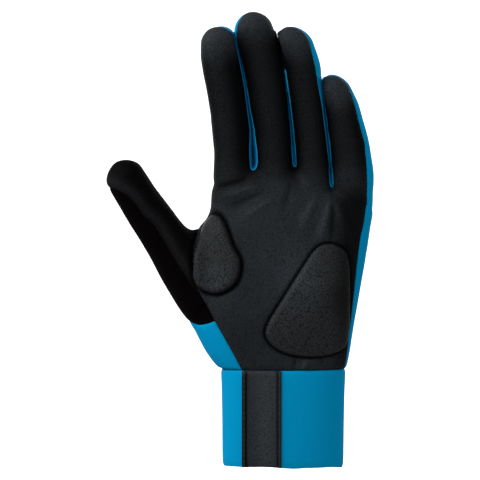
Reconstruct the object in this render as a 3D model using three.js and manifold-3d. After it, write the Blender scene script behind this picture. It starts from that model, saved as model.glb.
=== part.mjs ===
// A left full-finger cycling glove, held in the form that a hand gives it: fingers up (+Z),
// palm towards -Y, thumb towards -X. The origin is the centre of the wrist opening.
// Each cloth or leather panel is a thin wall of its own, and neighbours stop short of each other
// at a narrow seam gap. All sizes are millimetres.
import * as THREE from "three";
import { mergeVertices } from "three/addons/utils/BufferGeometryUtils.js";
import Module from "manifold-3d";

const wasm = await Module();
wasm.setup();

// Driving dimensions.
const wall = 1.8; // cloth with its fleece backing
const seamGap = 0.3;
const wristSeam = 54.4; // where the hand panels start
const cuffHeight = wristSeam - seamGap;
const seatGap = 0.3; // under each pad
const padRise = 2.2;
const padEdgeRise = 1.2; // of the lower step round a pad
const padEdgeWidth = 2.2;
const fourchetteDepth = 12; // from the palm seam to the back seam, between two fingers
const fourchetteReach = 5.4; // to each side of the slot's middle line
const slotDrop = 4; // how far the strips reach below their fork
const far = 70; // beyond the glove on every side
const fingerSides = 12;
const thumbSides = 14;
const palmSides = 28;
const cuffSides = 28;
const padSides = 24;
const overrun = 5; // of a cut past the end of what it cuts
const palmSquareness = 2.5; // exponent of the palm's section, 2 is an ellipse
const fingerSquareness = 2.15;
const tipTurns = [28, 52, 72, 84]; // degrees round a fingertip's dome

// The fingers bend a little towards the palm above the knuckles.
const knuckleZ = 150;
const handPlaneY = -1.5;
const curlPerMm2 = 0.0012;
const fingerCurl = (z) => handPlaneY - curlPerMm2 * Math.max(0, z - knuckleZ) ** 2;

// Palm sections, wrist to finger roots: left and right edges, front (palm) and back of the hand.
const palmRows = [
  { z: wristSeam, left: -35.9, right: 35.6, front: -21.3, back: 21.3 },
  { z: 64.0, left: -43.2, right: 37.5, front: -22.1, back: 20.8 },
  { z: 75.0, left: -49.3, right: 39.2, front: -22.7, back: 20.0 },
  { z: 83.5, left: -53.0, right: 40.6, front: -22.8, back: 19.4 },
  { z: 94.9, left: -55.0, right: 42.6, front: -22.4, back: 18.6 },
  { z: 106.3, left: -56.0, right: 44.6, front: -21.6, back: 17.8 },
  { z: 117.7, left: -56.0, right: 46.6, front: -20.5, back: 16.9 },
  { z: 129.1, left: -53.5, right: 48.4, front: -19.2, back: 16.0 },
  { z: 136.0, left: -51.0, right: 49.4, front: -18.5, back: 15.4 },
  { z: 140.5, left: -45.5, right: 50.3, front: -17.8, back: 14.9 },
  { z: 146.2, left: -42.2, right: 50.9, front: -16.9, back: 14.1 },
  { z: 151.9, left: -41.0, right: 51.0, front: -15.6, back: 12.9 },
  { z: 157.0, left: -40.0, right: 38.0, front: -14.2, back: 11.4 },
  { z: 161.0, left: -38.5, right: 27.0, front: -12.6, back: 9.8 },
  { z: 166.5, left: -36.0, right: 20.0, front: -10.5, back: 7.0 },
  { z: 170.6, left: -31.0, right: 12.5, front: -7.5, back: 4.0 },
];

// Finger sections, root to tip centre. The last row carries the tip's rounding. Neighbouring
// fingers nearly touch at their widest.
const fingers = {
  index: {
    tip: 11.6,
    rows: [
      { z: 146.0, x: -27.5, width: 8.5, depth: 8.5 },
      { z: 163.0, x: -28.4, width: 10.9, depth: 10.9 },
      { z: 180.0, x: -28.7, width: 11.0, depth: 10.5 },
      { z: 192.5, x: -29.5, width: 11.3, depth: 10.3 },
      { z: 206.0, x: -31.1, width: 10.9, depth: 10.1 },
      { z: 217.0, x: -32.7, width: 11.1, depth: 10.0 },
      { z: 228.0, x: -34.7, width: 11.0, depth: 9.9 },
      { z: 239.5, x: -36.4, width: 10.2, depth: 9.3 },
    ],
  },
  middle: {
    tip: 12.1,
    rows: [
      { z: 148.0, x: -4.6, width: 8.5, depth: 8.8 },
      { z: 166.0, x: -5.3, width: 11.3, depth: 11.2 },
      { z: 180.0, x: -5.7, width: 11.3, depth: 10.9 },
      { z: 193.0, x: -6.6, width: 11.0, depth: 10.7 },
      { z: 206.0, x: -8.4, width: 11.2, depth: 10.5 },
      { z: 217.0, x: -9.9, width: 11.1, depth: 10.4 },
      { z: 228.0, x: -11.7, width: 11.3, depth: 10.2 },
      { z: 239.0, x: -13.7, width: 11.8, depth: 10.0 },
      { z: 247.2, x: -15.3, width: 11.2, depth: 9.4 },
    ],
  },
  ring: {
    tip: 10.6,
    rows: [
      { z: 146.0, x: 17.4, width: 8.3, depth: 8.5 },
      { z: 163.0, x: 17.0, width: 9.9, depth: 10.7 },
      { z: 180.0, x: 16.0, width: 9.8, depth: 10.2 },
      { z: 193.0, x: 14.7, width: 9.6, depth: 10.0 },
      { z: 206.0, x: 13.2, width: 9.8, depth: 9.8 },
      { z: 217.0, x: 11.8, width: 10.3, depth: 9.7 },
      { z: 228.0, x: 10.4, width: 10.3, depth: 9.5 },
      { z: 240.2, x: 7.0, width: 9.1, depth: 8.9 },
    ],
  },
  little: {
    tip: 9.2,
    rows: [
      { z: 138.0, x: 38.5, width: 9.0, depth: 8.5 },
      { z: 156.0, x: 39.5, width: 11.5, depth: 10.9 },
      { z: 171.0, x: 39.1, width: 11.9, depth: 10.4 },
      { z: 184.0, x: 37.4, width: 11.5, depth: 9.8 },
      { z: 196.0, x: 34.9, width: 10.6, depth: 9.2 },
      { z: 206.0, x: 33.0, width: 9.6, depth: 8.7 },
      { z: 214.2, x: 31.0, width: 8.3, depth: 7.8 },
    ],
  },
};

// Thumb sections, from inside the heel of the hand to the tip centre.
const thumb = {
  tip: 10.0,
  rows: [
    { z: 84.9, x: -36.8, y: -1.0, width: 15.5, depth: 14.0 },
    { z: 97.8, x: -45.2, y: -2.5, width: 16.3, depth: 15.2 },
    { z: 109.3, x: -52.7, y: -4.5, width: 15.8, depth: 15.0 },
    { z: 120.7, x: -59.8, y: -7.0, width: 15.2, depth: 13.8 },
    { z: 132.5, x: -68.6, y: -10.0, width: 13.0, depth: 12.2 },
    { z: 146.0, x: -78.0, y: -13.4, width: 12.1, depth: 11.0 },
    { z: 157.8, x: -85.9, y: -16.0, width: 11.1, depth: 10.2 },
    { z: 165.7, x: -91.2, y: -18.0, width: 9.9, depth: 9.2 },
  ],
};

const cuffRows = [
  { z: 0, left: -34.8, right: 34.3, front: -22.3, back: 22.3 },
  { z: 10, left: -34.8, right: 34.3, front: -22.4, back: 22.4 },
  { z: 27, left: -34.9, right: 34.5, front: -22.4, back: 22.4 },
  { z: 44, left: -35.2, right: 35.0, front: -22.1, back: 22.1 },
  { z: cuffHeight, left: -35.5, right: 35.4, front: -21.6, back: 21.6 },
];

// The palm leather meets the cloth back along the finger sides: how far the seam lies in front of
// or behind the fingers' own middle, from the thumb's side to the little finger's side.
const sideSeam = [
  { x: -110, offset: 4.0 },
  { x: -44, offset: 4.0 },
  { x: -34, offset: -1.0 },
  { x: -24, offset: -5.0 },
  { x: 0, offset: -4.5 },
  { x: 24, offset: -5.5 },
  { x: 48, offset: -8.0 },
  { x: far, offset: -8.0 },
];
const sideSeamZs = [40, knuckleZ, 185, 215, 240, 270]; // where the seam follows the fingers' bend

// Slots between the fingers: the fork, and the upper end of the strip that lines it.
const slots = {
  fourchette_index_middle: { fork: [-17.2, 169.5], top: [-25.4, 241.0] },
  fourchette_middle_ring: { fork: [6.6, 171.5], top: [-2.0, 241.0] },
  fourchette_ring_little: { fork: [27.8, 159.0], top: [22.4, 215.0] },
};

// Seams seen from the palm, as x and z along the line.
const crotch = [-49, 136];
const palmEdge = [
  crotch, [-50.2, 126], [-51, 116.5], [-50.6, 107], [-47.9, 100],
  [-43.3, 91.5], [-39.3, 83.5], [-25.1, 58.4], [-21.5, 52],
];
const thumbBackEdge = [crotch, [-43.5, 126], [-40.5, 112], [-42.5, 99], [-46, 89], [-49.6, 80.9]];
const suedeHem = [[-39.3, 83.5], [-44.5, 81.8], [-49.6, 80.9], [-55, 82.9], [-66, 90]];
const thumbFrontSeam = [
  [-106, 161], [-96.9, 156.5], [-88.9, 148.5], [-79.8, 143.4], [-73, 137.1],
  [-63.3, 120.6], [-53, 104.6], [-47.9, 100],
];
const thumbZone = [
  ...thumbFrontSeam, ...palmEdge.slice(1, 4).reverse(),
  [-49, 128], [-49, 150], [-60, 190], [-106, 190],
];
const sideSeamZone = [[0, 40], [far, 40], [far, 270], [-49, 270], [-49, 128], [0, 128]];
const crotchCut = [[-49, 148], crotch, [-49, 129]];
const thumbSideSeam = 2.5; // behind the thumb's middle, on the side towards the fingers
const thumbPlaneY = (x) => {
  const [root, tip] = [thumb.rows[1], thumb.rows.at(-1)];
  return root.y + ((x - root.x) * (tip.y - root.y)) / (tip.x - root.x);
};

// Pad outlines on the palm.
const padOutlines = {
  thenar_pad: [
    [-37.5, 144.3], [-33.0, 140.0], [-28.6, 127.0], [-24.0, 117.0], [-27.0, 105.0], [-38.0, 98.8],
    [-47.6, 104.0], [-50.0, 114.5], [-47.4, 128.0], [-43.0, 141.0],
  ],
  heel_pad: [
    [25.5, 127.9], [34.0, 124.6], [37.3, 116.5], [37.9, 100.0], [37.6, 80.0], [35.2, 69.0],
    [27.0, 64.4], [14.0, 63.1], [0.0, 65.4], [-9.2, 72.0], [-10.2, 81.0], [1.1, 100.0],
    [11.5, 116.2], [18.2, 125.2],
  ],
};

// The leather strip let into the palm side of the cuff.
const strip = { left: -23.5, right: -1.5, border: 2.1, borderRise: 0.5 };

const finishes = {
  leather: { color: 0x1c1f21, roughness: 0.55, metalness: 0 },
  suede: { color: 0x070607, roughness: 1, metalness: 0 },
  softshell: { color: 0x0083b8, roughness: 0.8, metalness: 0 },
};

// A closed geometry as a solid.
function solidOf(geometry) {
  const bare = geometry.clone();
  bare.deleteAttribute("normal");
  bare.deleteAttribute("uv");
  const merged = mergeVertices(bare, 1e-4);
  return new wasm.Manifold(
    new wasm.Mesh({
      numProp: 3,
      vertProperties: new Float32Array(merged.attributes.position.array),
      triVerts: new Uint32Array(merged.index.array),
    }),
  );
}

// A solid as a named mesh of one finish.
function nodeOf(name, solid, finish) {
  const made = solid.getMesh();
  const geometry = new THREE.BufferGeometry()
    .setAttribute("position", new THREE.BufferAttribute(made.vertProperties, 3))
    .setIndex(new THREE.BufferAttribute(made.triVerts, 1));
  geometry.computeVertexNormals();
  const mesh = new THREE.Mesh(geometry, new THREE.MeshStandardMaterial(finish));
  mesh.name = name;
  return mesh;
}

// Rings of equal count, joined in order and closed by a point at each end.
function loft(rings) {
  const sides = rings[0].length;
  const points = rings.flat();
  const faces = [];
  for (let i = 0; i + 1 < rings.length; i++)
    for (let j = 0; j < sides; j++) {
      const a = i * sides + j;
      const b = i * sides + ((j + 1) % sides);
      faces.push(a, b, b + sides, a, b + sides, a + sides);
    }
  const middle = (ring) =>
    ring.reduce((sum, p) => sum.add(p), new THREE.Vector3()).divideScalar(sides);
  const last = (rings.length - 1) * sides;
  const start = points.push(middle(rings[0])) - 1;
  const end = points.push(middle(rings.at(-1))) - 1;
  for (let j = 0; j < sides; j++) {
    const next = (j + 1) % sides;
    faces.push(start, next, j, end, last + j, last + next);
  }
  return solidOf(new THREE.BufferGeometry().setFromPoints(points).setIndex(faces));
}

// One ring round a centre, with a superellipse for its section.
function ring(centre, across, away, halfWidth, halfDepth, sides, squareness) {
  const power = (v) => Math.sign(v) * Math.abs(v) ** (2 / squareness);
  return Array.from({ length: sides }, (_, i) => {
    const angle = (2 * Math.PI * i) / sides;
    return centre
      .clone()
      .addScaledVector(across, halfWidth * power(Math.cos(angle)))
      .addScaledVector(away, halfDepth * power(Math.sin(angle)));
  });
}

// A finger or thumb along its rows, with a domed tip. grow is negative for the hollow inside.
function digit({ rows, tip }, grow, sides) {
  const centres = rows.map((r) => new THREE.Vector3(r.x, r.y ?? fingerCurl(r.z), r.z));
  const frames = centres.map((_, i) => {
    const along = centres[Math.min(i + 1, centres.length - 1)]
      .clone()
      .sub(centres[Math.max(i - 1, 0)])
      .normalize();
    const away = new THREE.Vector3(0, 1, 0);
    away.addScaledVector(along, -away.dot(along)).normalize();
    return { along, away, across: away.clone().cross(along) };
  });
  const section = (centre, { across, away }, { width, depth }, shrink, squareness) => {
    const halves = [(width + grow) * shrink, (depth + grow) * shrink];
    return ring(centre, across, away, ...halves, sides, squareness);
  };
  const rings = rows.map((r, i) => section(centres[i], frames[i], r, 1, fingerSquareness));
  for (const degrees of tipTurns) {
    const turn = THREE.MathUtils.degToRad(degrees);
    const reach = (tip + grow) * Math.sin(turn);
    const centre = centres.at(-1).clone().addScaledVector(frames.at(-1).along, reach);
    rings.push(section(centre, frames.at(-1), rows.at(-1), Math.cos(turn), 2));
  }
  return loft(rings);
}

// A body with level sections, such as the palm and the cuff.
function levelBody(rows, grow, sides, squareness) {
  return loft(
    rows.map(({ z, left, right, front, back }) => {
      const half = (right - left) / 2 + grow;
      const centre = new THREE.Vector3((left + right) / 2, 0, z);
      const across = new THREE.Vector3(1, 0, 0);
      const away = new THREE.Vector3(0, 1, 0);
      const section = ring(centre, across, away, half, 1, sides, squareness);
      for (const p of section) p.y *= p.y < 0 ? -(front - grow) : back + grow;
      return section;
    }),
  );
}

// The palm's rows, with the closed upper end lowered or raised by grow.
function palmBody(grow) {
  const rows = palmRows.map((r) => (r.z > knuckleZ ? { ...r, z: r.z + grow } : { ...r }));
  if (grow < 0) rows[0].z -= overrun; // the hollow runs out through the wrist
  return levelBody(rows, grow, palmSides, palmSquareness);
}

// The whole hand form, grown or shrunk.
function handForm(grow) {
  const digits = Object.values(fingers).map((f) => digit(f, grow, fingerSides));
  return digits.reduce(
    (sum, d) => sum.add(d),
    palmBody(grow).add(digit(thumb, grow, thumbSides)),
  );
}

// The seam sheet's y at a place, in a few straight stretches across the hand.
function seamY(x, z) {
  const next = sideSeam.findIndex((s) => s.x >= x);
  const [a, b] = [sideSeam[Math.max(next - 1, 0)], sideSeam[Math.max(next, 1)]];
  return fingerCurl(z) + THREE.MathUtils.mapLinear(x, a.x, b.x, a.offset, b.offset);
}

// The space between two height functions of x and z.
function slab(low, high, xs, zs) {
  const points = [];
  for (const height of [low, high])
    for (const x of xs) for (const z of zs) points.push(new THREE.Vector3(x, height(x, z), z));
  const layer = xs.length * zs.length;
  const at = (i, j, k) => k * layer + i * zs.length + j;
  const faces = [];
  const quad = (a, b, c, d) => faces.push(a, b, c, a, c, d);
  for (let i = 0; i + 1 < xs.length; i++)
    for (let j = 0; j + 1 < zs.length; j++) {
      quad(at(i, j, 1), at(i, j + 1, 1), at(i + 1, j + 1, 1), at(i + 1, j, 1));
      quad(at(i, j, 0), at(i + 1, j, 0), at(i + 1, j + 1, 0), at(i, j + 1, 0));
    }
  const [iEnd, jEnd] = [xs.length - 1, zs.length - 1];
  for (let i = 0; i < iEnd; i++) {
    quad(at(i, 0, 0), at(i, 0, 1), at(i + 1, 0, 1), at(i + 1, 0, 0));
    quad(at(i, jEnd, 0), at(i + 1, jEnd, 0), at(i + 1, jEnd, 1), at(i, jEnd, 1));
  }
  for (let j = 0; j < jEnd; j++) {
    quad(at(0, j, 0), at(0, j + 1, 0), at(0, j + 1, 1), at(0, j, 1));
    quad(at(iEnd, j, 0), at(iEnd, j, 1), at(iEnd, j + 1, 1), at(iEnd, j + 1, 0));
  }
  return solidOf(new THREE.BufferGeometry().setFromPoints(points).setIndex(faces));
}

// The space from low to high behind the side seam. Left out, it reaches past the glove.
function aroundSideSeam({ low, high }) {
  const bottom = (x, z) => (low === undefined ? -far : seamY(x, z) + low);
  const top = (x, z) => (high === undefined ? far : seamY(x, z) + high);
  return slab(bottom, top, sideSeam.map((s) => s.x), sideSeamZs);
}

// The same behind the thumb's middle plane.
function aroundThumb({ low, high }) {
  const bottom = (x) => (low === undefined ? -far : thumbPlaneY(x) + low);
  return slab(bottom, (x) => thumbPlaneY(x) + high, [-110, -40], [70, 200]);
}

// An outline in x and z, pushed through the whole depth of the glove.
function prism(outline) {
  const points = outline.map(([x, z]) => new THREE.Vector2(x, z));
  const shape = new THREE.Shape(points);
  const geometry = new THREE.ExtrudeGeometry(shape, { depth: 2 * far, bevelEnabled: false });
  geometry.rotateX(Math.PI / 2).translate(0, far, 0);
  return solidOf(geometry);
}

// A thin upright cut along a line in x and z.
function cutAlong(line) {
  const half = seamGap / 2;
  const sides = line.map(([x, z], i) => {
    const [before, after] = [line[Math.max(i - 1, 0)], line[Math.min(i + 1, line.length - 1)]];
    const along = new THREE.Vector2(after[0] - before[0], after[1] - before[1]).normalize();
    return [[x - along.y * half, z + along.x * half], [x + along.y * half, z - along.x * half]];
  });
  return prism([...sides.map((s) => s[0]), ...sides.map((s) => s[1]).reverse()]);
}

// A smooth closed outline through a few points, moved inwards by inset.
function smoothOutline(points, inset) {
  const through = points.map(([x, z]) => new THREE.Vector3(x, 0, z));
  const curve = new THREE.CatmullRomCurve3(through, true, "centripetal");
  return Array.from({ length: padSides }, (_, i) => {
    const point = curve.getPointAt(i / padSides);
    const along = curve.getTangentAt(i / padSides);
    return [point.x + along.z * inset, point.z - along.x * inset];
  });
}

// The upright space round one slot, from below its fork to the strip's upper end.
function slotPrism({ fork, top }, grow) {
  const reach = fourchetteReach + grow;
  const below = fork[1] - slotDrop - grow;
  const above = top[1] + grow;
  return prism([
    [fork[0] - reach, below], [fork[0] + reach, below],
    [top[0] + reach, above], [top[0] - reach, above],
  ]);
}

// Of the loose pieces of a cut shell, the one that reaches furthest into a small box.
function pieceAt(pieces, [x, y, z]) {
  const probe = solidOf(new THREE.BoxGeometry(6, 12, 6).translate(x, y, z));
  const shares = pieces.map((p) => p.intersect(probe).volume());
  return pieces[shares.indexOf(Math.max(...shares))];
}

// The hand's panels: a thin shell, cut along every seam.
function handPanels() {
  const half = seamGap / 2;
  let shell = handForm(0).subtract(handForm(-wall));
  for (const [name, slot] of Object.entries(slots)) {
    const lining = aroundSideSeam({ low: half, high: fourchetteDepth });
    const room = aroundSideSeam({ low: -half, high: fourchetteDepth + seamGap });
    glove.add(nodeOf(name, shell.intersect(lining).intersect(slotPrism(slot, 0)), finishes.softshell));
    shell = shell.subtract(room.intersect(slotPrism(slot, seamGap)));
  }
  const palmSide = aroundSideSeam({ high: 0 });
  const backSide = aroundSideSeam({ low: 0 });
  const cuts = [
    aroundSideSeam({ low: -half, high: half }).intersect(prism(sideSeamZone)),
    cutAlong(crotchCut),
    cutAlong(palmEdge).intersect(palmSide),
    cutAlong(thumbBackEdge).intersect(backSide),
    cutAlong(suedeHem).intersect(palmSide),
    cutAlong(suedeHem.slice(2)).intersect(backSide),
    cutAlong(thumbFrontSeam).intersect(aroundThumb({ high: thumbSideSeam + half })),
    aroundThumb({ low: thumbSideSeam - half, high: thumbSideSeam + half }).intersect(prism(thumbZone)),
  ];
  const loose = cuts.reduce((left, cut) => left.subtract(cut), shell).decompose();
  glove.add(nodeOf("palm_panel", pieceAt(loose, [0, -20, 110]), finishes.leather));
  glove.add(nodeOf("back_panel", pieceAt(loose, [0, 18, 110]), finishes.softshell));
  glove.add(nodeOf("thumb_palm_panel", pieceAt(loose, [-76, -24, 150]), finishes.leather));
  glove.add(nodeOf("thumb_back_panel", pieceAt(loose, [-72, 0, 134]), finishes.suede));
}

// The stuffed pads: plates that follow the palm, with a lower step round the edge.
function pads() {
  const palmAndThumb = (grow) => palmBody(grow).add(digit(thumb, grow, thumbSides));
  const seat = palmAndThumb(seatGap);
  const edge = palmAndThumb(seatGap + padEdgeRise).subtract(seat);
  const crown = palmAndThumb(seatGap + padRise).subtract(seat);
  const palmSide = aroundSideSeam({ high: 0 });
  for (const [name, outline] of Object.entries(padOutlines)) {
    const wide = edge.intersect(prism(smoothOutline(outline, 0)));
    const narrow = crown.intersect(prism(smoothOutline(outline, padEdgeWidth)));
    glove.add(nodeOf(name, wide.add(narrow).intersect(palmSide), finishes.leather));
  }
}

// The cuff, and the leather strip let into it with its two stitched-down edges.
function cuff() {
  const hollowRows = cuffRows.map((r) => ({ ...r }));
  hollowRows[0].z -= overrun;
  hollowRows.at(-1).z += overrun;
  const hollow = levelBody(hollowRows, -wall, cuffSides, palmSquareness);
  const tube = levelBody(cuffRows, 0, cuffSides, palmSquareness).subtract(hollow);
  const raised = levelBody(cuffRows, strip.borderRise, cuffSides, palmSquareness).subtract(hollow);
  const ahead = new THREE.BoxGeometry(far, far, 2 * far).translate(0, -far / 2 - 10, 0);
  const span = (left, right) => {
    const [low, high] = [-overrun, cuffHeight + overrun];
    return prism([[left, low], [right, low], [right, high], [left, high]]).intersect(solidOf(ahead));
  };
  const { left, right, border } = strip;
  const pieces = {
    cuff: tube.subtract(span(left - seamGap, right + seamGap)),
    cuff_strip: tube.intersect(span(left + border + seamGap, right - border - seamGap)),
    cuff_strip_border_left: raised.intersect(span(left, left + border)),
    cuff_strip_border_right: raised.intersect(span(right - border, right)),
  };
  for (const [name, solid] of Object.entries(pieces))
    glove.add(nodeOf(name, solid, name === "cuff" ? finishes.softshell : finishes.leather));
}

const glove = new THREE.Group();
handPanels();
pads();
cuff();

export default glove;
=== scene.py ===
import math

import bmesh
import bpy
import numpy as np
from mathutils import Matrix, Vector, noise


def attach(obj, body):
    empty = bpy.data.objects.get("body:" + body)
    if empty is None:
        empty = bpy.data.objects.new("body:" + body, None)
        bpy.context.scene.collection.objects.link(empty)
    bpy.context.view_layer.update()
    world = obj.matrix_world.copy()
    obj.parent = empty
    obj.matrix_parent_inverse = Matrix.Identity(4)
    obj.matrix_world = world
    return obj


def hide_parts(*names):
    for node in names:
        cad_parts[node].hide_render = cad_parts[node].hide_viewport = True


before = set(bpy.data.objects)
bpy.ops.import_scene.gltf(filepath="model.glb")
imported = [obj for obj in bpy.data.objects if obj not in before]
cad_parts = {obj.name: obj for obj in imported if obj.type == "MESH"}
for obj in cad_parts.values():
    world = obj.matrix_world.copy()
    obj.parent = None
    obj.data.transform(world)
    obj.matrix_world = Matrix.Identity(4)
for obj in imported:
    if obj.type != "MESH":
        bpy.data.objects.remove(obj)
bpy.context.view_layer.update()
mm = 0.001
toRight, toBack = Vector((1, 0, 0)), Vector((0, 1, 0))

# Camera first: the photograph's frame is 273.6 mm wide at the glove's middle.
view = {"centre": (-24.8, -8.0, 129.4), "frameWidth": 273.6, "lens": 135.0, "sensor": 36.0,
        "clipStart": 50.0}


def placeCamera():
    data = bpy.data.cameras.new("camera")
    data.lens = view["lens"]
    data.sensor_width = view["sensor"]
    data.clip_start = view["clipStart"] * mm
    camera = bpy.data.objects.new("camera", data)
    bpy.context.collection.objects.link(camera)
    distance = view["frameWidth"] * view["lens"] / view["sensor"]
    x, y, z = view["centre"]
    camera.location = (x * mm, (y - distance) * mm, z * mm)
    camera.rotation_euler = (math.radians(90), 0, 0)
    bpy.context.scene.camera = camera


placeCamera()

# The hand form in mm. palm: z, left, right, front, back. digits: z, x, halfWidth, halfDepth.
hand = {
    "voxel": 0.9,
    "rowStep": 2,
    "sides": 56,
    "palmSides": 110,
    "relax": 3,  # smoothings of the whole form
    "wristZ": 56,
    "planeY": -1.5,
    "knuckleZ": 150,
    "curl": 0.0012,
    "palmPower": 2.5,
    "digitPower": 2.15,
    "palm": [
        (44, -30.2, 34.5, -21, 21.5),
        (54.4, -36.1, 36.1, -21.3, 21.3),
        (64, -43.4, 38, -22.1, 20.8),
        (75, -49.5, 39.7, -22.7, 20),
        (83.5, -53.2, 41.1, -22.8, 19.4),
        (94.9, -55.2, 43.1, -22.4, 18.6),
        (106.3, -56, 45.1, -21.6, 17.8),
        (117.7, -56, 47.1, -20.5, 16.9),
        (129.1, -53.5, 48.9, -19.2, 16),
        (136, -50.5, 49.9, -18.5, 15.4),
        (140.5, -45.5, 50.8, -17.8, 14.9),
        (146.2, -42.2, 51.3, -16.9, 14.1),
        (150, -42, 49, -16, 13.2),
        (153.5, -41.6, 40, -15.2, 12.3),
        (157, -41.4, 30, -14.2, 11.4),
        (162, -40.2, 24, -12.6, 9.8),
        (167, -37, 17, -10.5, 7),
        (170.6, -29, 10, -7.5, 4),
    ],
    # tip: how far the end reaches past the last row, as x, y, z, and its roundness
    "digits": {
        "index": {"tip": (0, -2.6, 10.2), "round": 2.15, "rows": [
            (146, -27.5, 8.5, 8.5), (163, -28.4, 10.9, 10.9), (180, -28.7, 11, 10.5),
            (192.5, -29.6, 11.4, 10.3), (206, -31.2, 11.1, 10.1), (217, -32.9, 11.3, 10),
            (228, -34.9, 11.3, 9.9), (235, -36.4, 11, 9.7), (240.5, -37, 10.4, 9.3)]},
        "middle": {"tip": (-3.6, -3.2, 10.9), "round": 1.9, "rows": [
            (148, -4.6, 8.5, 8.8), (166, -5.3, 11.3, 11.2), (180, -5.7, 11.3, 10.9),
            (193, -6.6, 11.1, 10.7), (206, -8.4, 11.4, 10.5), (217, -9.9, 11.4, 10.4),
            (228, -11.8, 11.7, 10.2), (239, -14.3, 12.2, 10), (247.2, -17, 11.4, 9.5)]},
        "ring": {"tip": (-5.6, -2.6, 10.3), "round": 2, "rows": [
            (146, 17.4, 8.3, 8.5), (163, 17, 9.9, 10.7), (180, 16, 9.9, 10.2),
            (193, 14.8, 9.9, 10), (206, 13.3, 10.1, 9.8), (217, 11.8, 10.5, 9.7),
            (228, 10.2, 10.8, 9.5), (240.2, 6.9, 9.8, 9)]},
        "little": {"tip": (-4.4, -1.8, 9.2), "round": 1.7, "rows": [
            (138, 39, 10.4, 9.2), (147, 39.7, 11.4, 10.3), (156, 39.7, 11.7, 10.9),
            (171, 39.2, 12.1, 10.4), (184, 37.5, 11.8, 9.8), (196, 35.1, 10.9, 9.2),
            (206, 33, 9.8, 8.7), (214.6, 30.2, 8.4, 7.9)]},
    },
    "tipAngles": [10, 20, 30, 40, 50, 60, 70, 78, 84, 88],
    # z, x, y, halfWidth, halfDepth
    "thumb": {"tip": (-7.1, -2.2, 8.2), "round": 1.65, "rows": [
        (84.9, -36.8, -1, 15.5, 14), (97.8, -45.2, -2.5, 16.4, 15.2),
        (109.3, -52.7, -4.5, 15.9, 15), (120.7, -59.8, -7, 15.2, 13.8),
        (132.5, -68.6, -10, 13, 12.2), (146, -78, -13.4, 12, 11),
        (157.8, -86, -16, 10.9, 10.2), (165.2, -91.5, -18, 9.8, 9.2)]},
}

# The middle lines between the fingers, from the fork upwards, as z and x.
forks = {
    "index_middle": [(169.5, -17.2), (180.7, -17.4), (192.3, -17.9), (205.9, -20), (216.8, -21.4),
                     (227.8, -23.5), (238.7, -25.9), (244.5, -27.7), (249.7, -28.6)],
    "middle_ring": [(171.5, 6.6), (179.5, 6), (188, 5.1), (197.8, 4.4), (205.9, 3),
                    (216.8, 1.4), (227.8, -0.1), (238.7, -1.7), (243.7, -3), (249.7, -4.6)],
    "ring_little": [(155.2, 28.1), (171.6, 27), (181.4, 26), (189.9, 25.1), (203.2, 23.4),
                    (214.2, 22.3), (224, 21.6)],
}
# How much further apart the fingers stand while the form is made.
spread = {"gap": 3.6, "from": 157, "to": 182}
# How they are brought together again. The gap is measured every step up the slot, from inner to
# outer beside it and within depth of the fingers' middle. The gap left is negative, so they touch.
closing = {"windows": (5, 3), "step": 1.5, "near": 1.4, "inner": 0.3, "outer": 12, "depth": 6,
           "left": -0.4, "reach": 9, "ease": 0.7, "below": 3, "above": 4, "fade": 6}
# The bodies that fill the forks between the fingers.
web = {"rise": 11, "drop": 8, "halfWidth": 4.2, "halfDepth": 2.4, "closed": 2,
       "rings": 9, "sides": 24}

# How far the palm seam lies in front of (-) or behind the fingers' middle, by z, for each side.
seamSides = {
    "index_left": [(54, 4), (150, 3.5), (250, 3.5)],
    "index_right": [(150, -6.6), (180, -6.4), (192, -5), (206, -4.6), (222, -4.4), (236, -4.2),
                    (243, -3.6), (247, -3), (251, -3.6)],
    "middle_left": [(150, -6.6), (180, -6.4), (192, -5), (206, -4.2), (228, -3.2), (236, -4.2),
                    (247, -4.8), (258, -2.4)],
    "middle_right": [(150, -3.8), (180, -3.6), (200, -3), (216, -2.2), (234, -0.6), (243, 1.5),
                     (258, 6)],
    "ring_left": [(150, -3.8), (180, -3.8), (200, -4.3), (216, -5.2), (234, -5.2), (243, -3),
                  (251, 2)],
    "ring_right": [(150, -3.8), (185, -4.2), (205, -5.4), (220, -7.2), (232, -6.8), (243, -5),
                   (251, -2)],
    "little_left": [(150, -3.8), (185, -3.8), (205, -2.4), (215, -1), (223, -1.6)],
    "little_right": [(54, -7.8), (62, -8), (72, -8.3), (80, -8.6), (88, -9.6), (97, -10.5),
                     (106, -10.6), (115, -10.2), (122, -9.8), (130, -9.1), (136, -8.3), (142, -7.9),
                     (150, -7.8), (158, -8.1), (166, -8.2), (172, -7.9), (178, -7.2), (185, -6.4),
                     (196, -6.3), (206, -6), (214, -4.9), (223, -1.8)],
}

# Seams seen from the palm, as x and z.
crotch = (-49, 136)
lines = {
    "palmEdge": [crotch, (-50.2, 126), (-51, 116.5), (-50.6, 107), (-47.9, 100), (-43.3, 91.5),
                 (-39.3, 83.5)],
    "wristEdge": [(-39.3, 83.5), (-33.5, 73.5), (-28.5, 64.5), (-23.8, 55.5), (-20, 48)],
    "thumbBack": [crotch, (-43.5, 126), (-40.5, 112), (-42.5, 99), (-46, 89), (-49.6, 80.9)],
    "suedeHem": [(-39.3, 83.5), (-44.5, 81.6), (-49.6, 80.9), (-55, 82.9), (-66, 90)],
    "thumbFront": [(-106, 161), (-96.9, 158), (-89.3, 154.6), (-84, 149.6), (-79.3, 142.6),
                   (-73, 137.1), (-63.3, 120.6), (-53, 104.6), (-47.9, 100)],
    # well outside the glove, where the zones of thumb and palm close
    "pastThumb": [(-130, 90), (-130, 260), (-49, 260)],
    "pastIndex": [(-90, 300), (-60, 180)],
}
thumbSideSeam = 2.5  # behind the thumb's middle plane
fourchette = {"reach": 6.5, "back": 5.5, "drop": 5, "taper": 26, "belowTip": 3}
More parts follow.
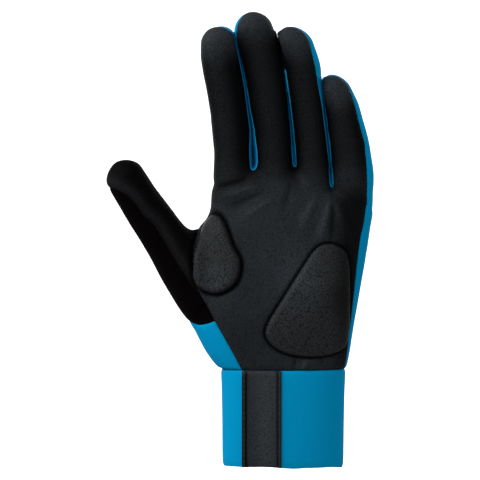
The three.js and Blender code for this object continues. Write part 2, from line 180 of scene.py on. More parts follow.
sideX = 44.0  # how far out the two outer seams of the palm are read
seam = {"depth": 0.75, "width": 0.9, "snap": 0.1, "near": 0.05, "forkHalf": 0.2, "wall": 1.4}
# Each seam is cut only where it can lie: left of an x, above a z, or this far past another seam.
cutZones = {"thumbX": -15, "leatherX": -30, "forkZ": 140, "margin": 0.2}

padFrontY = -2  # the pads lie in front of this
padMargin = 2.5  # how far past its outline the palm is faired
padWeld = 0.02
# fairing: smoothings of the palm under the pad. edge: how far in from its outline the pad rises to
# its height, and crownReach to its crown. channel: the groove pressed round it, with painted shade in
# it to the right of grooveFrom.
pads = {
    "thenar_pad": {
        "fairing": 120, "rise": 2.4, "edge": 4.4, "crown": 0.8, "crownReach": 13,
        "channel": 1.4, "channelWidth": 1.5, "groovePaintedShade": 0.95, "grooveFrom": -46,
        "outline": [(-38.2, 144.3), (-33.4, 140), (-28.6, 127), (-24, 117), (-27, 105),
                    (-38, 98.6), (-49, 103), (-51.8, 115), (-49.3, 128.4), (-44.2, 141)],
    },
    "heel_pad": {
        "fairing": 20, "rise": 1.6, "edge": 4.4, "crown": 0.9, "crownReach": 20,
        "channel": 1, "channelWidth": 0.9, "groovePaintedShade": 0.9, "grooveFrom": -30,
        "outline": [(25.5, 127.9), (34, 124.6), (37.3, 116.5), (37.9, 100), (37.6, 80), (35.2, 69),
                    (27, 64.4), (14, 63.1), (0, 65.4), (-9.2, 72), (-10.2, 81), (1.1, 100),
                    (11.5, 116.2), (18.2, 125.2)],
    },
}

cuff = {
    "height": 55.7, "wall": 1.6, "sides": 144, "step": 1.5, "power": 2.5, "roll": 1.6, "rollDip": 0.8,
    # z, left, right, front, back
    "rows": [(0.3, -34.9, 34.6, -22.3, 22.3), (10, -35, 34.7, -22.4, 22.4),
             (27, -35.1, 34.9, -22.4, 22.4), (44, -35.4, 35.3, -22.1, 22.1),
             (55.7, -35.8, 35.8, -21.6, 21.6)],
    "stripLeft": -23.5, "stripRight": -1.5, "border": 2.1, "borderRise": 0.75,
    "lap": 0.8, "stripLap": 0.7,  # how far cloth and strip reach under the borders
    # painted shade in the grooves along the borders' edges: width, cuts across, how dark, and how far off
    # each edge
    "groove": 0.75, "grooveCuts": (-1, -0.5, 0, 0.5, 1), "groovePaintedShade": 0.95,
    "grooveOffs": (-0.1, -0.1, -0.1, 0.2), "frontY": -5,
    # painted shade on the strip at its left, and how much painted light makes it paler from a given x on
    "paintedShadeLeft": 0.68, "paintedLightRise": 0.52, "paintedLightFrom": -20, "paintedLightReach": 9,
}
# The open end isn't quite level: a little higher at the strip, lower on the little finger's side.
# Each rise is its height, the x where it starts or peaks, and its reach.
hem = {"middle": (1.3, -12, 14), "right": (0.6, 4, 10), "left": (0.5, 20, 8), "corner": (0.9, 26, 8),
       "frontDepth": 15, "upTo": 9}
stitch = {"pitch": 3, "length": 2, "width": 0.42, "proud": 0.12, "inset": 0.95, "start": 0.6}


# A table with more rows, on a smooth curve through its own.
def alongRows(rows, step):
    table = np.array(rows, float)
    zs = table[:, 0]
    slopes = np.gradient(table, zs, axis=0)
    count = max(2, int(round((zs[-1] - zs[0]) / step)) + 1)
    out = []
    for z in np.linspace(zs[0], zs[-1], count):
        i = min(max(int(np.searchsorted(zs, z)) - 1, 0), len(zs) - 2)
        h = zs[i + 1] - zs[i]
        t = (z - zs[i]) / h
        a, b = 2 * t**3 - 3 * t**2 + 1, t**3 - 2 * t**2 + t
        c, d = -2 * t**3 + 3 * t**2, t**3 - t**2
        out.append(a * table[i] + b * h * slopes[i] + c * table[i + 1] + d * h * slopes[i + 1])
    return out


def smoothLine(points, closed=False, step=1.2):
    pts = [Vector((p[0], p[1])) for p in points]
    count = len(pts)
    out = []
    for i in range(count if closed else count - 1):
        if closed:
            p0, p1, p2, p3 = (pts[(i + k) % count] for k in (-1, 0, 1, 2))
        else:
            p0, p1, p2, p3 = (pts[min(max(i + k, 0), count - 1)] for k in (-1, 0, 1, 2))
        pieces = max(2, int((p2 - p1).length / step))
        for k in range(pieces):
            t = k / pieces
            out.append(0.5 * ((2 * p1) + (p2 - p0) * t + (2 * p0 - 5 * p1 + 4 * p2 - p3) * t * t
                              + (3 * p1 - p0 - 3 * p2 + p3) * t**3))
    if not closed:
        out.append(pts[-1])
    return np.array([(p.x, p.y) for p in out])


tiny = 1e-12


# Distance to a line, positive on its left, or inside it where it is closed.
def lineDistance(line, x, z, closed=False):
    a = line
    b = np.roll(line, -1, axis=0)
    if not closed:
        a, b = a[:-1], b[:-1]
    best = np.full(len(x), 1e9)
    side = np.zeros(len(x))
    inside = np.zeros(len(x), bool)
    for (ax, az), (bx, bz) in zip(a, b):
        dx, dz = bx - ax, bz - az
        size = dx * dx + dz * dz
        if size < tiny:
            continue
        t = np.clip(((x - ax) * dx + (z - az) * dz) / size, 0, 1)
        gap = np.hypot(x - ax - t * dx, z - az - t * dz)
        cross = dx * (z - az) - dz * (x - ax)
        nearer = gap < best - 1e-9
        best = np.where(nearer, gap, best)
        side = np.where(nearer, np.sign(cross), side)
        if closed:
            rise = dz if abs(dz) > tiny else tiny
            inside ^= ((az > z) != (bz > z)) & (x < ax + (z - az) * dx / rise)
    if closed:
        return np.where(inside, best, -best)
    return best * side


def step01(t):
    t = np.clip(t, 0, 1)
    return t * t * (3 - 2 * t)


def curlY(z):
    return hand["planeY"] - hand["curl"] * np.maximum(0, z - hand["knuckleZ"]) ** 2


def forkX(name, z):
    table = np.array(forks[name])
    return np.interp(z, table[:, 0], table[:, 1])


# How far back the palm leather reaches, as y.
def seamSheet(x, z):
    columns = [("index_left", np.full(len(z), -sideX))]
    for name, (left, right) in {"index_middle": ("index_right", "middle_left"),
                                "middle_ring": ("middle_right", "ring_left"),
                                "ring_little": ("ring_right", "little_left")}.items():
        line = forkX(name, z)
        columns += [(left, line - seam["forkHalf"]), (right, line + seam["forkHalf"])]
    columns.append(("little_right", np.full(len(z), sideX)))
    places = np.array([c[1] for c in columns])
    offsets = np.array([np.interp(z, *np.array(seamSides[c[0]]).T) for c in columns])
    out = np.where(x <= places[0], offsets[0], offsets[-1])
    for i in range(len(columns) - 1):
        t = np.clip((x - places[i]) / (places[i + 1] - places[i]), 0, 1)
        here = (x > places[i]) & (x <= places[i + 1])
        out = np.where(here, offsets[i] * (1 - t) + offsets[i + 1] * t, out)
    return curlY(z) + out


# Distance to a pad's outline, positive inside it.
def padDistance(pad, p):
    return lineDistance(pad["line"], p[:, 0], p[:, 2], closed=True)


def thumbPlane(x):
    rows = hand["thumb"]["rows"]
    return np.interp(-x, [-rows[1][1], -rows[-1][1]], [rows[1][2], rows[-1][2]])


palmEdge, suedeHem = smoothLine(lines["palmEdge"]), smoothLine(lines["suedeHem"])
thumbZoneFront = np.vstack([palmEdge, suedeHem, lines["pastThumb"]])
thumbZoneBack = np.vstack([smoothLine(lines["thumbBack"]), smoothLine(lines["suedeHem"][2:]),
                           lines["pastThumb"]])
palmLeft = np.vstack([lines["pastIndex"], palmEdge, smoothLine(lines["wristEdge"])])
thumbSeamLine = smoothLine(lines["thumbFront"])


# Fields: each is about the distance to one seam in mm, and changes sign across it.
def thumbField(p):
    x, y, z = p.T
    front = lineDistance(thumbZoneFront, x, z, closed=True)
    back = lineDistance(thumbZoneBack, x, z, closed=True)
    return np.where(y < seamSheet(x, z), front, back)


def thumbLeatherField(p):
    x, y, z = p.T
    return np.minimum(lineDistance(thumbSeamLine, x, z), thumbSideSeam + thumbPlane(x) - y)


def palmField(p):
    x, y, z = p.T
    return np.minimum(seamSheet(x, z) - y, lineDistance(palmLeft, x, z))


def fourchetteField(name):
    def field(p):
        x, y, z = p.T
        top = forks[name][-1][0] - fourchette["belowTip"]
        front = seamSheet(x, z)
        taper = np.sqrt(np.clip((top - z) / fourchette["taper"], 0, 1))
        behind = front + (curlY(z) + fourchette["back"] - front) * taper - y
        turn = np.minimum(z - (forks[name][0][0] - fourchette["drop"] + fourchette["reach"]), 0)
        across = fourchette["reach"] - np.hypot(x - forkX(name, z), turn)
        return np.minimum(np.minimum(across, behind), top - z)
    return field


# Meshes.
def meshOf(bm, name):
    mesh = bpy.data.meshes.new(name)
    bm.to_mesh(mesh)
    bm.free()
    return mesh


def objectOf(mesh, name):
    obj = bpy.data.objects.new(name, mesh)
    bpy.context.collection.objects.link(obj)
    return obj


# The mesh that an object's modifiers or curve give.
def finishedMesh(obj):
    return bpy.data.meshes.new_from_object(obj.evaluated_get(bpy.context.evaluated_depsgraph_get()))


def ringPlaces(centre, across, away, halfWidth, halfDepth, sides, power):
    out = []
    for i in range(sides):
        angle = 2 * math.pi * i / sides
        c, s = math.cos(angle), math.sin(angle)
        u = math.copysign(abs(c) ** (2 / power), c)
        v = math.copysign(abs(s) ** (2 / power), s)
        depth = halfDepth[0] if v < 0 else halfDepth[1]
        out.append(centre + across * (halfWidth * u) + away * (depth * v))
    return out


def addLoft(bm, rings, capped=True):
    before = None
    ends = []
    for ring in rings:
        made = bmesh.ops.create_circle(bm, cap_ends=False, radius=1, segments=len(ring))["verts"]
        for vert, place in zip(made, ring):
            vert.co = place
        edges = list({e for v in made for e in v.link_edges})
        if before:
            bmesh.ops.bridge_loops(bm, edges=before + edges)
        else:
            ends = edges
        before = edges
    if capped:
        bmesh.ops.holes_fill(bm, edges=ends + before, sides=0)


# Level rings from rows of z, left, right, front and back.
def levelRings(rows, step, sides, power):
    rings = []
    for z, left, right, front, back in alongRows(rows, step):
        centre = Vector(((left + right) / 2, 0, z))
        rings.append(ringPlaces(centre, toRight, toBack, (right - left) / 2, (-front, back), sides, power))
    return rings


def addDigit(bm, rows, tip, roundness, shift):
    centres = [Vector((r[1] + shift(r[0]), r[2], r[0])) for r in rows]
    rings = []
    for i, row in enumerate(rows):
        along = (centres[min(i + 1, len(rows) - 1)] - centres[max(i - 1, 0)]).normalized()
        away = (toBack - along * toBack.dot(along)).normalized()
        across = away.cross(along)
        rings.append(ringPlaces(centres[i], across, away, row[3], (row[4], row[4]), hand["sides"],
                                hand["digitPower"]))
    for height in np.sin(np.radians(hand["tipAngles"])):
        shrink = (1 - height ** roundness) ** (1 / roundness)
        power = hand["digitPower"] + (2 - hand["digitPower"]) * height
        rings.append(ringPlaces(centres[-1] + Vector(tip) * height, across, away, rows[-1][3] * shrink,
                                (rows[-1][4] * shrink,) * 2, hand["sides"], power))
    addLoft(bm, rings)


def digitShift(order):
    def shift(z):
        return order * spread["gap"] * float(step01((z - spread["from"]) / (spread["to"] - spread["from"])))
    return shift


def makeForm():
    bm = bmesh.new()
    addLoft(bm, levelRings(hand["palm"], hand["rowStep"], hand["palmSides"], hand["palmPower"]))
    for order, digit in zip((-1.5, -0.5, 0.5, 1.5), hand["digits"].values()):
        rows = [(z, x, float(curlY(z)), w, d) for z, x, w, d in alongRows(digit["rows"], hand["rowStep"])]
        addDigit(bm, rows, digit["tip"], digit["round"], digitShift(order))
    for order, name in zip((-1, 0, 1), forks):
        bottom = forks[name][0][0]
        shift = digitShift(order)
        rings = []
        for z in np.linspace(bottom - web["drop"], bottom + web["rise"], web["rings"]):
            centre = Vector((float(forkX(name, z)) + shift(z), float(curlY(z)), z))
            rings.append(ringPlaces(centre, toRight, toBack, web["halfWidth"], (web["halfDepth"],) * 2,
                                    web["sides"], 2))
        addLoft(bm, rings)
    thumb = hand["thumb"]
    addDigit(bm, alongRows(thumb["rows"], hand["rowStep"]), thumb["tip"], thumb["round"], lambda z: 0.0)
    bmesh.ops.recalc_face_normals(bm, faces=bm.faces)
    form = objectOf(meshOf(bm, "form"), "form")
    remesh = form.modifiers.new("remesh", "REMESH")
    remesh.mode = "VOXEL"
    remesh.voxel_size = hand["voxel"]
    bm = bmesh.new()
    bm.from_mesh(finishedMesh(form))
    bpy.data.objects.remove(form)
    return bm


def smooth(bm, verts, times, factor=0.5):
    for _ in range(times):
        bmesh.ops.smooth_vert(bm, verts=verts, factor=factor,
                              use_axis_x=True, use_axis_y=True, use_axis_z=True)


# Where the joined form is rounded off: centre (x, y, z), reach, times.
blendEase = {"rim": 1.6, "factor": 0.6}
blends = [
    ((-48, -4, 134), 22, 120), ((-42, 6, 108), 26, 30), ((-36, -10, 84), 20, 20),
    ((-17, -2, 164), 12, 26), ((6.5, -2, 166), 12, 26), ((28, -2, 150), 12, 26),
    ((-30, 8, 152), 14, 40), ((-5, 8, 154), 14, 40), ((17, 8, 152), 14, 40), ((39, 6, 146), 14, 40),
    ((-30, -12, 152), 14, 30), ((-5, -12, 156), 14, 30), ((17, -12, 154), 14, 30),
    ((39, -12, 144), 14, 30),
]


def relaxForm(bm):
    smooth(bm, bm.verts, hand["relax"])
    places = np.array([v.co[:] for v in bm.verts])
    need = np.zeros(len(places))
    for centre, reach, times in blends:
        gap = np.linalg.norm(places - np.array(centre), axis=1)
        need = np.maximum(need, times * step01(blendEase["rim"] * (1 - gap / reach)))
    bm.verts.ensure_lookup_table()
    for k in range(int(need.max())):
        smooth(bm, [bm.verts[i] for i in np.nonzero(need > k)[0]], 1, blendEase["factor"])


# The mean of each value and its neighbours.
def evened(values, window):
    return np.convolve(np.pad(values, window // 2, mode="edge"), np.ones(window) / window, mode="valid")


# Brings the fingers back together, and widens or narrows each beside its slots until they touch.
def closeFingers(bm):
    places = np.array([v.co[:] for v in bm.verts])
    x, y, z = places.T.copy()
    ramp = step01((z - spread["from"]) / (spread["to"] - spread["from"]))
    half = spread["gap"] / 2
    offs = {name: x - forkX(name, z) - (k - 1) * spread["gap"] * ramp for k, name in enumerate(forks)}
    for off in offs.values():
        places[:, 0] -= ramp * half * np.clip(off / (half + closing["inner"]), -1, 1)
    middle = np.abs(y - curlY(z)) < closing["depth"]
    for window in closing["windows"]:
        for name, off in offs.items():
            bottom = forks[name][0][0]
            low, high = bottom + web["rise"] - web["closed"], forks[name][-1][0] - 1
            levels = np.arange(low, high, closing["step"])
            now = places[:, 0] - forkX(name, z)
            for side in (-1, 1):
                beside = (off * side > closing["inner"]) & (off * side < closing["outer"]) & middle
                gaps = []
                for level in levels:
                    near = beside & (np.abs(z - level) < closing["near"])
                    gaps.append((now[near] * side).min() if near.any() else 0)
                need = np.interp(z, levels, evened(gaps, window) - closing["left"] / 2, right=0)
                need *= step01((z - bottom + closing["below"]) / closing["fade"])
                need *= step01((high + closing["above"] - z) / closing["fade"])
                need *= np.where(z < low, np.clip(now * side / closing["ease"], 0, 1), 1)
                weight = step01(1 - (off * side - half * ramp) / closing["reach"]) * (off * side > 0)
                places[:, 0] -= side * need * weight
    for vert, place in zip(bm.verts, places):
        vert.co = place


def cutAtZero(bm, field, keep=None):
    bm.verts.index_update()
    places = np.array([v.co[:] for v in bm.verts])
    values = field(places)
    live = keep(places) if keep else np.ones(len(places), bool)
    values = np.where(np.abs(values) < seam["snap"], 0, values)
    onLine = [v for v, value, ok in zip(bm.verts, values, live) if ok and value == 0]
    crossing = []
    for edge in bm.edges:
        a, b = edge.verts[0].index, edge.verts[1].index
        if live[a] and live[b] and values[a] * values[b] < 0:
            crossing.append((edge, values[a] / (values[a] - values[b])))
    for edge, part in crossing:
        onLine.append(bmesh.utils.edge_split(edge, edge.verts[0], part)[1])
    bmesh.ops.connect_verts(bm, verts=onLine)


print("hand form")
form = makeForm()
print("  verts", len(form.verts))
relaxForm(form)
closeFingers(form)
for pad in pads.values():
    pad["line"] = smoothLine(pad["outline"], closed=True)
    places = np.array([v.co[:] for v in form.verts])
    patch = (padDistance(pad, places) > -padMargin) & (places[:, 1] < padFrontY)
    form.verts.ensure_lookup_table()
    smooth(form, [form.verts[i] for i in np.nonzero(patch)[0]], pad["fairing"])
bmesh.ops.bisect_plane(form, geom=form.verts[:] + form.edges[:] + form.faces[:], clear_inner=True,
                       plane_co=(0, 0, hand["wristZ"]), plane_no=(0, 0, 1))
print("seams")
cutAtZero(form, thumbField, lambda p: p[:, 0] < cutZones["thumbX"])
cutAtZero(form, thumbLeatherField,
          lambda p: (p[:, 0] < cutZones["leatherX"]) & (thumbField(p) > -cutZones["margin"]))
cutAtZero(form, palmField, lambda p: thumbField(p) < cutZones["margin"])
for forkName in forks:
    cutAtZero(form, fourchetteField(forkName),
              lambda p: (palmField(p) < cutZones["margin"]) & (p[:, 2] > cutZones["forkZ"]))
for pad in pads.values():
    cutAtZero(form, lambda p, pad=pad: padDistance(pad, p), lambda p: p[:, 1] < padFrontY)


def labels(p):
    thumb = thumbField(p) > 0
    out = np.where(palmField(p) > 0, "palm_panel", "back_panel").astype("U40")
    for name in forks:
        out = np.where((out == "back_panel") & (fourchetteField(name)(p) > 0), "fourchette_" + name, out)
    leather = thumbLeatherField(p) > 0
    return np.where(thumb, np.where(leather, "thumb_palm_panel", "thumb_back_panel"), out)


form.faces.index_update()
faceLabels = labels(np.array([f.calc_center_median()[:] for f in form.faces]))

# Folds and hollows as moves along the surface normal, in mm.
folds = {
    # size and height of the soft unevenness, and the cloth's share of it
    "waves": [(15, 0.34), (6, 0.13)], "clothWaves": 0.5, "backFrom": 5,
    "hollow": {"centre": (-6, 108), "reach": (22, 30), "height": -1.6},
    # each ridge fades at both ends, and widens from its first end to its second
    "taper": 1.3, "narrow": 0.5, "widen": 0.7,
    # x, z of both ends, half width, height
    "ridges": [
        ((27.5, 155), (18.5, 124), 2.8, 1.1), ((28.2, 154), (26.5, 125), 2, -1.2),
        ((29.5, 153), (37.5, 122), 2.8, 1), ((20, 158), (7, 131), 2.8, 0.9),
        ((8, 170), (15, 156), 2.2, 0.8), ((6, 168), (-1, 142), 2.6, -0.7),
        ((-15, 166), (-43, 156.5), 1.9, -0.9), ((-11, 161), (-40, 152), 2.1, 0.8),
        ((-7, 158.5), (-36, 145), 2.1, -0.8), ((-2, 155), (-28, 139), 2.3, 0.65),
        ((9.5, 55), (14.5, 64), 1.6, 1), ((21, 55), (24, 62), 1.4, 0.6),
        ((5, 55), (7, 65), 1.4, -0.8), ((23, 55), (21, 64), 1.3, -0.7),
    ],
    "backRidges": [
        ((-40, 199), (-22, 200.5), 1.5, -0.4), ((-40, 194.5), (-21, 195.5), 1.7, 0.3),
        ((-18, 203), (2, 203), 1.5, -0.4), ((-17, 198), (3, 198), 1.7, 0.3),
        ((6, 200), (23, 199), 1.5, -0.4), ((7, 195), (24, 194), 1.7, 0.3),
        ((27, 187), (46, 185), 1.5, -0.4), ((28, 182.5), (47, 180.5), 1.7, 0.3),
        ((-40, 66), (4, 62), 2.2, -0.7), ((-34, 71), (20, 68), 2.6, 0.5),
        ((2, 61), (38, 65), 2, -0.6), ((-40, 128), (-14, 108), 3, 0.6),
        ((-43, 122), (-20, 98), 2.6, -0.6),
    ],
}


def foldHeight(p, ridges):
    x, z = p[:, 0], p[:, 2]
    out = np.zeros(len(x))
    for a, b, width, height in ridges:
        a, b = np.array(a), np.array(b)
        along = b - a
        size = np.hypot(*along)
        t = ((x - a[0]) * along[0] + (z - a[1]) * along[1]) / size**2
        off = ((x - a[0]) * -along[1] + (z - a[1]) * along[0]) / size
        taper = step01(folds["taper"] - folds["taper"] * np.abs(2 * t - 1))
        reach = width * (folds["narrow"] + folds["widen"] * np.clip(t, 0, 1))
        out += height * np.exp(-(off / reach) ** 2) * taper
    return out


def hollowHeight(p):
    hollow = folds["hollow"]
    return hollow["height"] * np.exp(-((p[:, 0] - hollow["centre"][0]) / hollow["reach"][0]) ** 2
                                     - ((p[:, 2] - hollow["centre"][1]) / hollow["reach"][1]) ** 2)


def waveHeight(p):
    out = np.zeros(len(p))
    for size, height in folds["waves"]:
        out += height * np.array([noise.noise(Vector(place) / size) for place in p])
    return out


def seamDip(distance):
    return -seam["depth"] * np.exp(-np.abs(distance) / seam["width"])


# All the small moves of the hand form: seams, folds and channels.
def surfaceMoves(p):
    thumb = thumbField(p)
    palm = palmField(p)
    onHand, onBack = thumb < seam["near"], palm < seam["near"]
    dips = [seamDip(thumb), np.where(onHand, seamDip(palm), 0),
            np.where(thumb > -seam["near"], seamDip(thumbLeatherField(p)), 0),
            seamDip(p[:, 2] - hand["wristZ"])]
    for name in forks:
        dips.append(np.where(onHand & onBack, seamDip(fourchetteField(name)(p)), 0))
    out = np.minimum.reduce(dips)
    front = foldHeight(p, folds["ridges"]) + hollowHeight(p)
    out += np.where(onHand & (palm > 0) & (p[:, 1] < 0), front, 0)
    onlyBack = step01((p[:, 1] - curlY(p[:, 2])) / folds["backFrom"])
    out += np.where(p[:, 1] > 0, foldHeight(p, folds["backRidges"]), 0) * onlyBack
    out += waveHeight(p) * np.where(onHand & (palm > 0), 1, folds["clothWaves"])
    for pad in pads.values():
        channel = -pad["channel"] * np.exp(-(padDistance(pad, p) / pad["channelWidth"]) ** 2)
        out += np.where(p[:, 1] < padFrontY, channel, 0)
    return out


# Painted light and shade on the leather, as factors that its colour is multiplied by, which the materials
# read as an attribute. Each ramp is where it starts and how far it takes.
paintedLeatherShading = {
    # painted shade on the fingers, and painted highlight on their tips
    "fingers": 0.42, "fingersRamp": (158, 20), "fingerTops": (251.0, 262.5, 251.5, 224.5),
    "tips": 1.45, "belowTop": 27, "tipsReach": 18,
    # painted shade on the palm below the little finger, right of an x and below a z
    "side": 0.15, "sideRampX": (24, 12), "sideRampZ": (170, 20),
    # painted light on the folds' ridges and painted shade in their hollows; painted shade in the pads'
    # grooves
    "folds": 0.5, "foldRange": (0.4, 1.7), "grooveX": 6, "grooveZ": (105, 5),
    # painted shade on the fingers' sides: where each finger's band of painted highlight lies in half widths
    # from its middle, how dark the sides are painted, over what distance from the band, from what z up, and
    # how far below the top
    "bands": (-0.3, 0.0, 0.0, -0.15), "edge": 0.04, "edgeRamp": (0.08, 0.8), "edgeFrom": (152, 26),
    "edgeTo": (6, 20),
    # the thumb's painted shade, painted highlight on a ridge beside its seam, and on its tip as x, z and
    # reach
    "thumb": 0.5, "thumbRidge": 2.6, "ridgeOff": 3.4, "ridgeWidth": 3.0,
    "thumbTip": 1.4, "thumbTipAt": (-94, 160, 8),
    # x, z, reach and strength of the patches of painted light (above 0) and painted shade (below 0)
    "patches": [(9, 108, 16, 0.55), (36, 95, 11, -0.8), (-38, 106, 9, 0.75), (-25, 72, 15, -0.2),
                (-9, 126, 17, 0.17), (-36, 160, 11, -0.4), (17, 74, 12, -0.1), (12, 60, 8, 0.2)],
}
# painted shade on the fourchette cloth: its darkest factor, reached this depth behind the palm seam
webPaintedShade = {"least": 0.3, "depth": 3.5}


def rampUp(value, ramp):
    return step01((value - ramp[0]) / ramp[1])


def rampDown(value, ramp):
    return step01((ramp[0] - value) / ramp[1])


def spot(x, z, centreX, centreZ, reach):
    return np.exp(-((x - centreX) / reach) ** 2 - ((z - centreZ) / reach) ** 2)


# How far a place is from its finger's band of painted highlight, in half widths.
def besideBand(x, z):
    beside = np.full(len(x), 9.0)
    for band, digit in zip(paintedLeatherShading["bands"], hand["digits"].values()):
        rows = np.array(digit["rows"])
        middle, width = (np.interp(z, rows[:, 0], rows[:, k]) for k in (1, 2))
        beside = np.minimum(beside, np.abs((x - middle) / width - band))
    return beside


# Painted light and shade on the leather, as factors on its colour; the thumb has its own.
def paintedLeatherShades(p):
    x, y, z = p.T
    look = paintedLeatherShading
    top = np.full(len(x), look["fingerTops"][0])
    for name, fingerTop in zip(forks, look["fingerTops"][1:]):
        top = np.where(x > forkX(name, z), fingerTop, top)
    out = 1 - (1 - look["fingers"]) * rampUp(z, look["fingersRamp"])
    out += (look["tips"] - look["fingers"]) * step01((z - top + look["belowTop"]) / look["tipsReach"])
    out *= 1 - (1 - look["side"]) * rampUp(x, look["sideRampX"]) * rampDown(z, look["sideRampZ"])
    out *= np.clip(1 + look["folds"] * foldHeight(p, folds["ridges"]), *look["foldRange"])
    for centreX, centreZ, reach, strength in look["patches"]:
        out *= 1 + strength * spot(x, z, centreX, centreZ, reach)
    for pad in pads.values():
        grooved = np.maximum(rampUp(x, (pad["grooveFrom"], look["grooveX"])), rampDown(z, look["grooveZ"]))
        groove = np.exp(-(padDistance(pad, p) / pad["channelWidth"]) ** 2)
        out *= 1 - pad["groovePaintedShade"] * grooved * groove
    inset, reach = look["edgeTo"]
    dark = rampUp(besideBand(x, z), look["edgeRamp"]) * rampUp(z, look["edgeFrom"])
    out *= 1 - (1 - look["edge"]) * dark * step01((top - inset - z) / reach)
    off = lineDistance(thumbSeamLine, x, z)
    ridge = np.exp(-((off - look["ridgeOff"]) / look["ridgeWidth"]) ** 2)
    thumb = look["thumb"] + look["thumbRidge"] * ridge + look["thumbTip"] * spot(x, z, *look["thumbTipAt"])
    return np.where(thumbField(p) > 0, thumb, out)


def webPaintedShades(p):
    deep = p[:, 1] - seamSheet(p[:, 0], p[:, 2])
    return 1 - (1 - webPaintedShade["least"]) * step01(deep / webPaintedShade["depth"])


form.normal_update()
places = np.array([v.co[:] for v in form.verts])
# the painted light and shade, kept as attributes of the form
for name, values in {"paintedShade": paintedLeatherShades(places), "webPaintedShade": webPaintedShades(places)}.items():
    layer = form.verts.layers.float.new(name)
    for vert, value in zip(form.verts, values):
        vert[layer] = value
normals = np.array([v.normal[:] for v in form.verts])
moves = surfaceMoves(places)
moved = places + normals * moves[:, None]
padOff = {name: padDistance(pad, places) for name, pad in pads.items()}
for vert, place in zip(form.verts, moved):
    vert.co = place


# Materials.
def newMaterial(name, color, roughness):
    mat = bpy.data.materials.new(name)
    mat.use_nodes = True
    shader = mat.node_tree.nodes["Principled BSDF"]
    shader.inputs["Base Color"].default_value = (*color, 1)
    shader.inputs["Roughness"].default_value = roughness
    return mat, mat.node_tree.nodes, mat.node_tree.links, shader


def addNode(nodes, kind, values):
    node = nodes.new("ShaderNode" + kind)
    for socket, value in values.items():
        node.inputs[socket].default_value = value
    return node


# What all grained materials share: the fine grain's size and share, the soft patches' size in mm,
# and the ranges of the textures that are used.
grainMix = {"fineSize": 0.35, "fineDetail": 3, "fineShare": 0.5, "patch": 9, "patchDetail": 4,
            "patchRange": (0.3, 0.7), "grainRange": (0.35, 1.05), "sheenRoughness": 0.5}


def mapRange(nodes, span, least, most):
    return addNode(nodes, "MapRange", {"From Min": span[0], "From Max": span[1],
                                       "To Min": least, "To Max": most})


def grainMaterial(name, finish):
    mat, nodes, links, shader = newMaterial(name, finish["color"], finish["roughness"])
    coords = nodes.new("ShaderNodeTexCoord")
    grain = addNode(nodes, "TexVoronoi", {"Scale": 1 / (finish["grain"] * mm)})
    grain.feature = "F1"
    fine = addNode(nodes, "TexNoise", {"Scale": 1 / (finish["grain"] * grainMix["fineSize"] * mm),
                                       "Detail": grainMix["fineDetail"]})
    soft = addNode(nodes, "TexNoise", {"Scale": 1 / (grainMix["patch"] * mm),
                                       "Detail": grainMix["patchDetail"]})
    for texture in (grain, fine, soft):
        links.new(coords.outputs["Object"], texture.inputs["Vector"])
    both = addNode(nodes, "Math", {1: grainMix["fineShare"]})
    both.operation = "MULTIPLY_ADD"
    links.new(fine.outputs["Fac"], both.inputs[0])
    links.new(grain.outputs["Distance"], both.inputs[2])
    bump = addNode(nodes, "Bump", {"Strength": finish["bump"], "Distance": finish["height"] * mm})
    bump.invert = True
    links.new(both.outputs[0], bump.inputs["Height"])
    links.new(bump.outputs["Normal"], shader.inputs["Normal"])
    gloss = mapRange(nodes, grainMix["patchRange"], finish["roughness"] - finish["vary"],
                     finish["roughness"] + finish["vary"])
    links.new(soft.outputs["Fac"], gloss.inputs["Value"])
    links.new(gloss.outputs["Result"], shader.inputs["Roughness"])
    tint = nodes.new("ShaderNodeMix")
    tint.data_type = "RGBA"
    for socket, change in {"A": -finish["mottle"], "B": finish["mottle"]}.items():
        tint.inputs[socket].default_value = (*[c * (1 + change) for c in finish["color"]], 1)
    links.new(soft.outputs["Fac"], tint.inputs["Factor"])
    pebble = mapRange(nodes, grainMix["grainRange"], 1 + finish["grainShade"], 1 - finish["grainShade"])
    links.new(both.outputs[0], pebble.inputs["Value"])
    factors = [pebble.outputs["Result"]]
    # the colour is multiplied by the painted light and shade that the finish's attribute holds
    if "paintedShadeAttribute" in finish:
        paintedShade = nodes.new("ShaderNodeAttribute")
        paintedShade.attribute_name = finish["paintedShadeAttribute"]
        factors.append(paintedShade.outputs["Fac"])
    color = tint.outputs["Result"]
    for factor in factors:
        scaled = nodes.new("ShaderNodeVectorMath")
        scaled.operation = "SCALE"
        links.new(color, scaled.inputs[0])
        links.new(factor, scaled.inputs["Scale"])
        color = scaled.outputs[0]
    links.new(color, shader.inputs["Base Color"])
    shader.inputs["Specular IOR Level"].default_value = finish["specular"]
    shader.inputs["Sheen Weight"].default_value = finish.get("sheen", 0)
    shader.inputs["Sheen Roughness"].default_value = grainMix["sheenRoughness"]
    return mat
